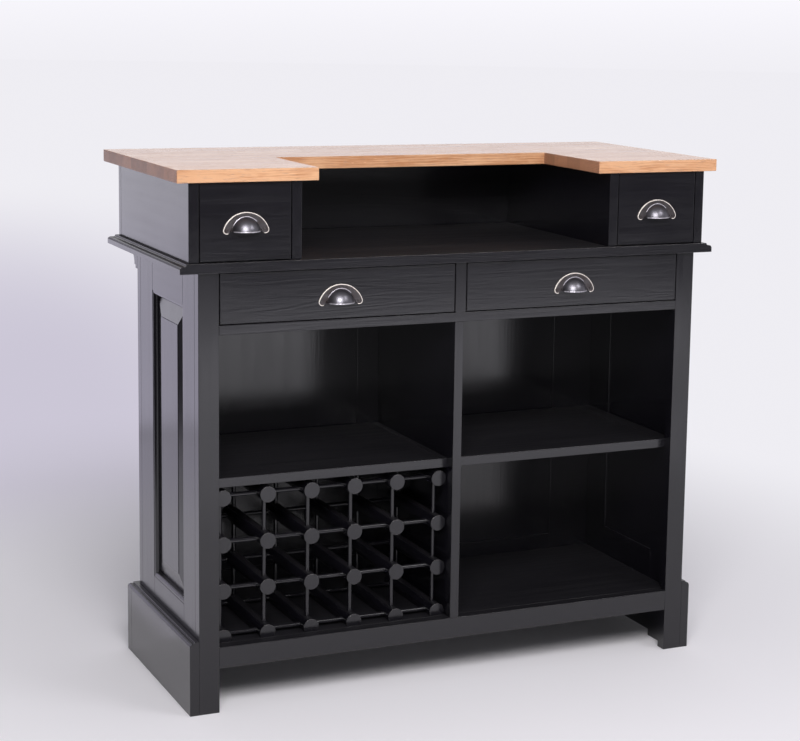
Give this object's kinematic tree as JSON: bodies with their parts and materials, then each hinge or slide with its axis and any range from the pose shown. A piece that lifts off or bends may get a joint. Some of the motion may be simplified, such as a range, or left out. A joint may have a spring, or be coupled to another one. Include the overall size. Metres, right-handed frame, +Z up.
{
  "type": "bar counter with shelves",
  "caption": "Free-standing bar counter: oak worktop with a cut-out, small drawers beside an open well, wide drawers, shelves and a bottle rack below.",
  "frame": {"origin": "on the floor, at the middle of the bounding box's underside", "axes": "+X along the counter, to the right seen from the barkeeper's side; +Y towards the guests; +Z up"},
  "size_m": [1.18, 0.541, 1.07],
  "materials": {
    "oak": "oiled oak",
    "black_paint": "black satin paint on pine",
    "bare_pine": "bare pine",
    "pewter": "antique pewter with worn bright edges",
    "steel": "zinc plated"
  },
  "bodies": {
    "carcase": {"back_centre_stile": "black_paint", "back_panel_left": "black_paint", "back_panel_right": "black_paint", "back_rails": "black_paint", "back_stile_left": "black_paint", "back_stile_right": "black_paint", "bottom_board": "black_paint", "bottom_rail": "black_paint", "centre_divider": "black_paint", "cove_moulding": "black_paint", "drawer_deck": "black_paint", "drawer_divider": "black_paint", "drawer_guides": "bare_pine", "drawer_rail": "black_paint", "front_stile_left": "black_paint", "front_stile_right": "black_paint", "joint_pegs": "bare_pine", "left_shelf": "black_paint", "middle_top": "black_paint", "oak_worktop": "oak", "panel_mouldings": "black_paint", "plinth_back": "black_paint", "plinth_left": "black_paint", "plinth_right": "black_paint", "rack_rods": "black_paint", "rack_spindles": "black_paint", "right_shelf": "black_paint", "shelf_battens": "black_paint", "side_legs_left": "black_paint", "side_legs_right": "black_paint", "side_panel_left": "black_paint", "side_panel_right": "black_paint", "side_rails": "black_paint", "upper_back_board": "black_paint", "upper_partition_left": "black_paint", "upper_partition_right": "black_paint", "upper_side_left": "black_paint", "upper_side_right": "black_paint", "worktop_cleats": "bare_pine", "worktop_screws": "steel"},
    "upper_left_drawer": {"upper_left_drawer_bottom": "bare_pine", "upper_left_drawer_box": "bare_pine", "upper_left_drawer_front": "black_paint", "upper_left_drawer_pull": "pewter", "upper_left_drawer_pull_screws": "pewter"},
    "upper_right_drawer": {"upper_right_drawer_bottom": "bare_pine", "upper_right_drawer_box": "bare_pine", "upper_right_drawer_front": "black_paint", "upper_right_drawer_pull": "pewter", "upper_right_drawer_pull_screws": "pewter"},
    "lower_left_drawer": {"lower_left_drawer_bottom": "bare_pine", "lower_left_drawer_box": "bare_pine", "lower_left_drawer_front": "black_paint", "lower_left_drawer_pull": "pewter", "lower_left_drawer_pull_screws": "pewter"},
    "lower_right_drawer": {"lower_right_drawer_bottom": "bare_pine", "lower_right_drawer_box": "bare_pine", "lower_right_drawer_front": "black_paint", "lower_right_drawer_pull": "pewter", "lower_right_drawer_pull_screws": "pewter"}
  },
  "joints": [
    {"name": "upper_left_drawer_slide", "type": "slide", "parent": "carcase", "child": "upper_left_drawer", "axis": [0, -1, 0], "range_m": [0, 0.36]},
    {"name": "upper_right_drawer_slide", "type": "slide", "parent": "carcase", "child": "upper_right_drawer", "axis": [0, -1, 0], "range_m": [0, 0.36]},
    {"name": "lower_left_drawer_slide", "type": "slide", "parent": "carcase", "child": "lower_left_drawer", "axis": [0, -1, 0], "range_m": [0, 0.3]},
    {"name": "lower_right_drawer_slide", "type": "slide", "parent": "carcase", "child": "lower_right_drawer", "axis": [0, -1, 0], "range_m": [0, 0.3]}
  ]
}
